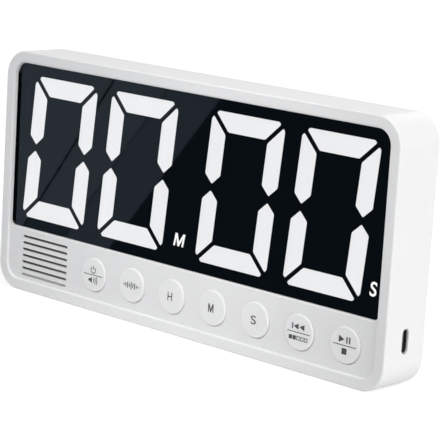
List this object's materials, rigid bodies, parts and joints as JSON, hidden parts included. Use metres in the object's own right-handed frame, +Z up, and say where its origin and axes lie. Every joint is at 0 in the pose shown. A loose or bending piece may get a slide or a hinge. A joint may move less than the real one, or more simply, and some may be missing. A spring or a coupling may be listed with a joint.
{
  "type": "digital countdown timer",
  "caption": "Slim white countdown timer: dark display window with slanted lit digits, round push buttons, speaker slots, side charging socket and a folding stand.",
  "frame": {"origin": "centre of the overall box at the bottom, on the flat base that the timer stands on", "axes": "+X to the right seen from the front, +Y from the display to the back cover, +Z up"},
  "size_m": [0.2, 0.0218, 0.0965],
  "materials": {
    "case": "white moulded plastic with a fine satin texture",
    "button": "white moulded plastic, smoother than the case",
    "window": "smoked clear sheet, polished",
    "mask": "black film",
    "tape": "black foam adhesive",
    "digit": "milky diffuser, lit white",
    "unlit": "diffuser, not lit, behind the smoked sheet",
    "reflector": "white moulded reflector",
    "board": "green solder mask",
    "screw": "plated steel",
    "led": "pale yellow phosphor",
    "chip": "black moulding compound",
    "can": "drawn metal",
    "black": "black moulded plastic",
    "socket": "ivory moulded plastic",
    "cloth": "fine black mesh cloth",
    "speaker": "dark painted steel",
    "cone": "dark paper",
    "lead": "red insulation",
    "magnet": "nickel plated"
  },
  "bodies": {
    "case": {"front_case": "case", "rear_cover": "case", "display_window": "window", "segment_mask": "mask", "window_tape": "tape", "speaker_gasket": "tape", "battery_pad": "tape", "digit_minutes_tens": "digit", "digit_minutes_units": "digit", "digit_seconds_tens": "digit", "digit_seconds_units": "digit", "unit_lenses": "digit", "middle_bars": "unlit", "light_box": "reflector", "main_board": "board", "board_screws": "screw", "cover_screws": "screw", "stand_pin": "screw", "segment_leds": "led", "controller_chip": "chip", "driver_chips": "chip", "charge_chip": "chip", "switch_housings": "chip", "crystal_can": "can", "board_capacitors": "can", "usb_shell": "can", "battery_cell": "can", "usb_tongue": "black", "battery_socket": "socket", "grille_cloth": "cloth", "speaker_frame": "speaker", "speaker_magnet": "speaker", "speaker_cone": "cone", "speaker_leads": "lead", "battery_leads": "lead", "back_magnets": "magnet"},
    "stand": {"folding_stand": "case"},
    "power_button": {"button_power": "button", "plunger_power": "chip"},
    "sound_button": {"button_sound": "button", "plunger_sound": "chip"},
    "hours_button": {"button_hours": "button", "plunger_hours": "chip"},
    "minutes_button": {"button_minutes": "button", "plunger_minutes": "chip"},
    "seconds_button": {"button_seconds": "button", "plunger_seconds": "chip"},
    "reset_button": {"button_reset": "button", "plunger_reset": "chip"},
    "start_button": {"button_start": "button", "plunger_start": "chip"}
  },
  "joints": [
    {"name": "stand_hinge", "type": "hinge", "parent": "case", "child": "stand", "pos_m": [0, 0.0085, 0.058], "axis": [1, 0, 0], "range_deg": [0, 45]},
    {"name": "power_press", "type": "slide", "parent": "case", "child": "power_button", "axis": [0, 1, 0], "range_m": [0, 0.0003], "stiffness_N_per_m": 3000, "springref_m": -0.0004},
    {"name": "sound_press", "type": "slide", "parent": "case", "child": "sound_button", "axis": [0, 1, 0], "range_m": [0, 0.0003], "stiffness_N_per_m": 3000, "springref_m": -0.0004},
    {"name": "hours_press", "type": "slide", "parent": "case", "child": "hours_button", "axis": [0, 1, 0], "range_m": [0, 0.0003], "stiffness_N_per_m": 3000, "springref_m": -0.0004},
    {"name": "minutes_press", "type": "slide", "parent": "case", "child": "minutes_button", "axis": [0, 1, 0], "range_m": [0, 0.0003], "stiffness_N_per_m": 3000, "springref_m": -0.0004},
    {"name": "seconds_press", "type": "slide", "parent": "case", "child": "seconds_button", "axis": [0, 1, 0], "range_m": [0, 0.0003], "stiffness_N_per_m": 3000, "springref_m": -0.0004},
    {"name": "reset_press", "type": "slide", "parent": "case", "child": "reset_button", "axis": [0, 1, 0], "range_m": [0, 0.0003], "stiffness_N_per_m": 3000, "springref_m": -0.0004},
    {"name": "start_press", "type": "slide", "parent": "case", "child": "start_button", "axis": [0, 1, 0], "range_m": [0, 0.0003], "stiffness_N_per_m": 3000, "springref_m": -0.0004}
  ]
}
